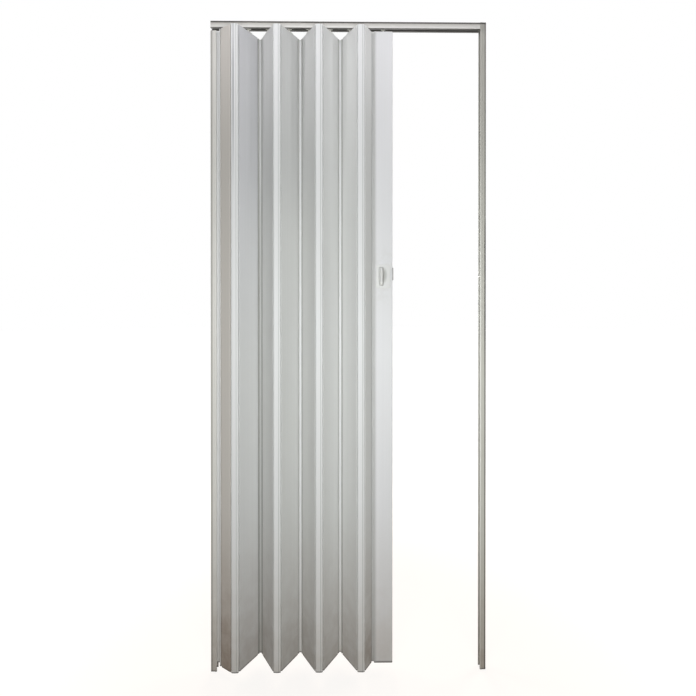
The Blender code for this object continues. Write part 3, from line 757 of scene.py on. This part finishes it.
# a turned screw with a cross recess, its head towards local +Z; the profile runs down from the recess
def crossScrew(work, screw, profile, where):
    turns = turnsOf(screw["sides"])
    rings = []
    for radius, z in profile:
        points = [Vector((radius * math.cos(turn), radius * math.sin(turn), z)) for turn in turns]
        rings.append(ringOf(work, [where @ point for point in points]))
    skin(work, rings)
    work.faces.new(rings[-1])
    arm, half, deep = screw["cross"]
    plan = [(arm, half), (half, half), (half, arm), (-half, arm), (-half, half), (-arm, half)]
    plan += [(-x, -y) for x, y in plan]
    top, taper = profile[0][1], screw["crossTaper"]
    mouth = ringOf(work, [where @ Vector((x, y, top)) for x, y in plan])
    floor = ringOf(work, [where @ Vector((x * taper, y * taper, top - deep)) for x, y in plan])
    skin(work, [mouth, floor])
    work.faces.new(floor)
    edges = loopEdges(work, rings[0]) + loopEdges(work, mouth)
    bmesh.ops.triangle_fill(work, use_beauty=True, edges=edges)


# wall screws, countersunk into the webs of the channels; a cross is its arm, half width and depth
wallScrew = {
    "profile": [
        (0.0031, 0.0002), (0.0036, 0.00005), (0.0037, -0.0001),
        (0.0021, -0.0016), (0.0021, -0.0018), (0.0017, -0.00195),
    ],
    "cross": (0.0019, 0.0005, 0.0011), "crossTaper": 0.62, "sides": 24, "sharp": 35, "spin": 0.7,
    "web": 0.002, "trackAlong": (-0.38, -0.14, 0.14, 0.38), "jambLevels": (-0.15, -0.65, -1.45, -1.95),
}


def addWallScrews():
    web, levels = wallScrew["web"], wallScrew["jambLevels"]
    wallX = wallEdge - web
    spots = [("track_screw", Vector((x, 0, -web)), Vector((0, 0, -1))) for x in wallScrew["trackAlong"]]
    spots += [("left_screw", Vector((-wallX, 0, z)), Vector((1, 0, 0))) for z in levels]
    spots += [("right_screw", Vector((wallX, 0, z)), Vector((-1, 0, 0))) for z in levels]
    for count, (name, at, facing) in enumerate(spots):
        work = bmesh.new()
        spin = Matrix.Rotation(wallScrew["spin"] * count, 4, "Z")  # no two screws stop at the same turn
        where = Matrix.Translation(at) @ facing.to_track_quat("Z", "Y").to_matrix().to_4x4() @ spin
        crossScrew(work, wallScrew, wallScrew["profile"], where)
        label = f"{name}_{count % len(levels) + 1}"
        addPiece(label, work, finishes["zinc_steel"], "frame", wallScrew["sharp"])


addWallScrews()

# pan head screws that clamp the back plate, with ringed shanks
plateScrew = {
    "head": [(0.0018, 0.002), (0.0024, 0.0015), (0.00275, 0.0009), (0.0029, 0.0003), (0.0027, 0.0)],
    "cross": (0.0014, 0.0004, 0.0008), "crossTaper": 0.62, "sides": 20, "sharp": 35, "spin": 0.4,
    "headRise": 0.002, "core": 0.0009, "crest": 0.0012, "pitch": 0.0008, "threadFrom": -0.001,
    "threadEnd": 0.0012, "pointLength": 0.0006, "pointRadius": 0.0003,
}


def addPlateScrew(node):
    low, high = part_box(node)
    at = Vector(((low.x + high.x) / 2, high.y - plateScrew["headRise"], (low.z + high.z) / 2))
    crest, core, pitch = plateScrew["crest"], plateScrew["core"], plateScrew["pitch"]
    profile = plateScrew["head"] + [(crest, 0.0)]
    z, tip = plateScrew["threadFrom"], low.y - at.y
    while z > tip + plateScrew["threadEnd"]:
        profile += [(crest, z), (core, z - pitch / 2)]
        z -= pitch
    profile += [(core, tip + plateScrew["pointLength"]), (plateScrew["pointRadius"], tip)]
    work = bmesh.new()
    facing = Matrix.Rotation(math.radians(-90), 4, "X") @ Matrix.Rotation(plateScrew["spin"], 4, "Z")
    crossScrew(work, plateScrew, profile, Matrix.Translation(at) @ facing)
    label = node + "_cross"
    piece = addPiece(label, work, finishes["zinc_steel"], "lead_post", plateScrew["sharp"])
    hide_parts(node)


for node in ("plate_screw_lower", "plate_screw_upper"):
    addPlateScrew(node)
print("screws made")


# studio: pale floor, white surroundings, soft lamps
studio = {
    "floorLevel": frameFoot, "floorRadius": 30.0, "floorSides": 96, "floorTone": (0.24, 0.19, 0.145),
    "grain": 6.0, "grainDetail": 3.0, "grainShade": 0.93,
    "nearGlow": 0.84, "farGlow": 1.0, "fadeFrom": 0.5, "fadeTo": 1.6,
    "roomLight": 0.15, "roomTone": (0.97, 0.99, 1.0),
}


# rays to which floor and room show plain white
def seenPlainly(tree):
    rays = place(tree, "ShaderNodeLightPath").outputs
    mirrored = calc(tree, "MAXIMUM", rays["Is Glossy Ray"], rays["Is Transmission Ray"])
    return calc(tree, "MAXIMUM", rays["Is Camera Ray"], mirrored)


def pickShader(tree, factor, first, second):
    pick = place(tree, "ShaderNodeMixShader")
    for socket, value in zip(pick.inputs, (factor, first, second)):
        feed(tree, socket, value)
    return pick.outputs[0]


def makeFloor():
    work = bmesh.new()
    bmesh.ops.create_circle(work, cap_ends=True, segments=studio["floorSides"], radius=studio["floorRadius"])
    mesh = bpy.data.meshes.new("studioFloor")
    work.to_mesh(mesh)
    work.free()
    floor = bpy.data.objects.new("studioFloor", mesh)
    floor.location.z = studio["floorLevel"]
    scene.collection.objects.link(floor)
    made = bpy.data.materials.new("paleFloor")
    made.use_nodes = True
    tree = made.node_tree
    tree.nodes.clear()
    tone = studio["floorTone"]
    shaded = tuple(studio["grainShade"] * c for c in tone)
    grain = noise(tree, objectPlace(tree), studio["grain"], studio["grainDetail"])
    matt = place(tree, "ShaderNodeBsdfDiffuse")
    feed(tree, matt.inputs["Color"], mixed(tree, grain, tone, shaded))
    away = vectorCalc(tree, "LENGTH", objectPlace(tree))["Value"]
    glow = place(tree, "ShaderNodeEmission")
    strength = ramp(
        tree, away, studio["fadeFrom"], studio["fadeTo"], studio["nearGlow"], studio["farGlow"]
    )
    feed(tree, glow.inputs["Strength"], strength)
    both = place(tree, "ShaderNodeAddShader")
    feed(tree, both.inputs[0], matt.outputs[0])
    feed(tree, both.inputs[1], glow.outputs[0])
    surface = pickShader(tree, seenPlainly(tree), matt.outputs[0], both.outputs[0])
    feed(tree, place(tree, "ShaderNodeOutputMaterial").inputs["Surface"], surface)
    mesh.materials.append(made)


def makeWorld():
    world = bpy.data.worlds.new("studioWorld")
    world.use_nodes = True
    scene.world = world
    tree = world.node_tree
    tree.nodes.clear()
    tint = (*studio["roomTone"], 1.0)
    room = place(tree, "ShaderNodeBackground", {"Color": tint, "Strength": studio["roomLight"]})
    white = place(tree, "ShaderNodeBackground", {"Color": (1, 1, 1, 1), "Strength": 1.0})
    surface = pickShader(tree, seenPlainly(tree), room.outputs[0], white.outputs[0])
    feed(tree, place(tree, "ShaderNodeOutputWorld").inputs["Surface"], surface)


daylight, cool, warm = (0.97, 1.0, 0.985), (0.98, 0.97, 1.0), (1.0, 0.99, 0.97)
lamps = {
    "frontLeft": {
        "at": (-0.45, -1.45, -0.95), "aim": (-0.1, 0, -0.95), "size": (0.5, 0.5), "power": 8.6,
        "tone": daylight,
    },
    "frontRight": {
        "at": (0.35, -1.45, -1.15), "aim": (-0.05, 0, -1.1), "size": (0.5, 0.5), "power": 10.2,
        "tone": daylight,
    },
    "top": {"at": (0.05, -0.42, 0.14), "aim": (0, 0, -0.1), "size": (1.0, 0.1), "power": 1.15, "tone": cool},
    "topLeft": {
        "at": (-0.85, -0.6, 0.05), "aim": (-0.15, 0, -0.05), "size": (0.2, 0.2), "power": 0.25,
        "tone": cool, "spread": 60,
    },
    "window": {
        "at": (1.2, -0.78, 0.1), "aim": (-0.2, 0, -0.12), "size": (0.1, 0.5), "power": 0.35,
        "tone": cool, "spread": 60,
    },
    "above": {"at": (0, 0.55, 1.3), "aim": (0, 0.1, 0), "size": (1.4, 0.4), "power": 9.0, "tone": warm},
    "back": {"at": (-0.2, 2.0, -0.8), "aim": (0, 0, -1.0), "size": (1.2, 1.2), "power": 19.0, "tone": warm},
    "backLeft": {
        "at": (-1.5, 0.8, -0.9), "aim": (-0.4, 0, -1.0), "size": (0.6, 1.2), "power": 11.0, "tone": warm,
    },
    "backRight": {
        "at": (1.5, 0.8, -0.9), "aim": (0.4, 0, -1.0), "size": (0.6, 1.2), "power": 11.0, "tone": warm,
    },
}


def addLamps():
    for name, lamp in lamps.items():
        data = bpy.data.lights.new(name, "AREA")
        data.shape = "RECTANGLE"
        data.size, data.size_y = lamp["size"]
        data.energy = lamp["power"]
        data.color = lamp["tone"]
        data.spread = math.radians(lamp.get("spread", 180))
        holder = bpy.data.objects.new(name, data)
        holder.location = lamp["at"]
        aim = Vector(lamp["aim"]) - Vector(lamp["at"])
        holder.rotation_euler = aim.to_track_quat("-Z", "Y").to_euler()
        holder.visible_camera = False
        scene.collection.objects.link(holder)


# camera at chest height, almost square to the door, framed a little low
view = {
    "at": (-0.0191, -1.5203, -0.9315), "pitch": 89.807, "yaw": -0.638, "lens": 24.143, "sensor": 36.0,
    "drop": -0.0522, "nearest": 0.02,
}


def addCamera():
    data = bpy.data.cameras.new("doorCamera")
    data.sensor_width = view["sensor"]
    data.lens = view["lens"]
    data.shift_y = view["drop"]
    data.clip_start = view["nearest"]
    camera = bpy.data.objects.new("doorCamera", data)
    camera.location = view["at"]
    camera.rotation_euler = (math.radians(view["pitch"]), 0.0, math.radians(view["yaw"]))
    scene.collection.objects.link(camera)
    scene.camera = camera


makeFloor()
makeWorld()
addLamps()
addCamera()
print("studio ready")

bpy.context.view_layer.update()
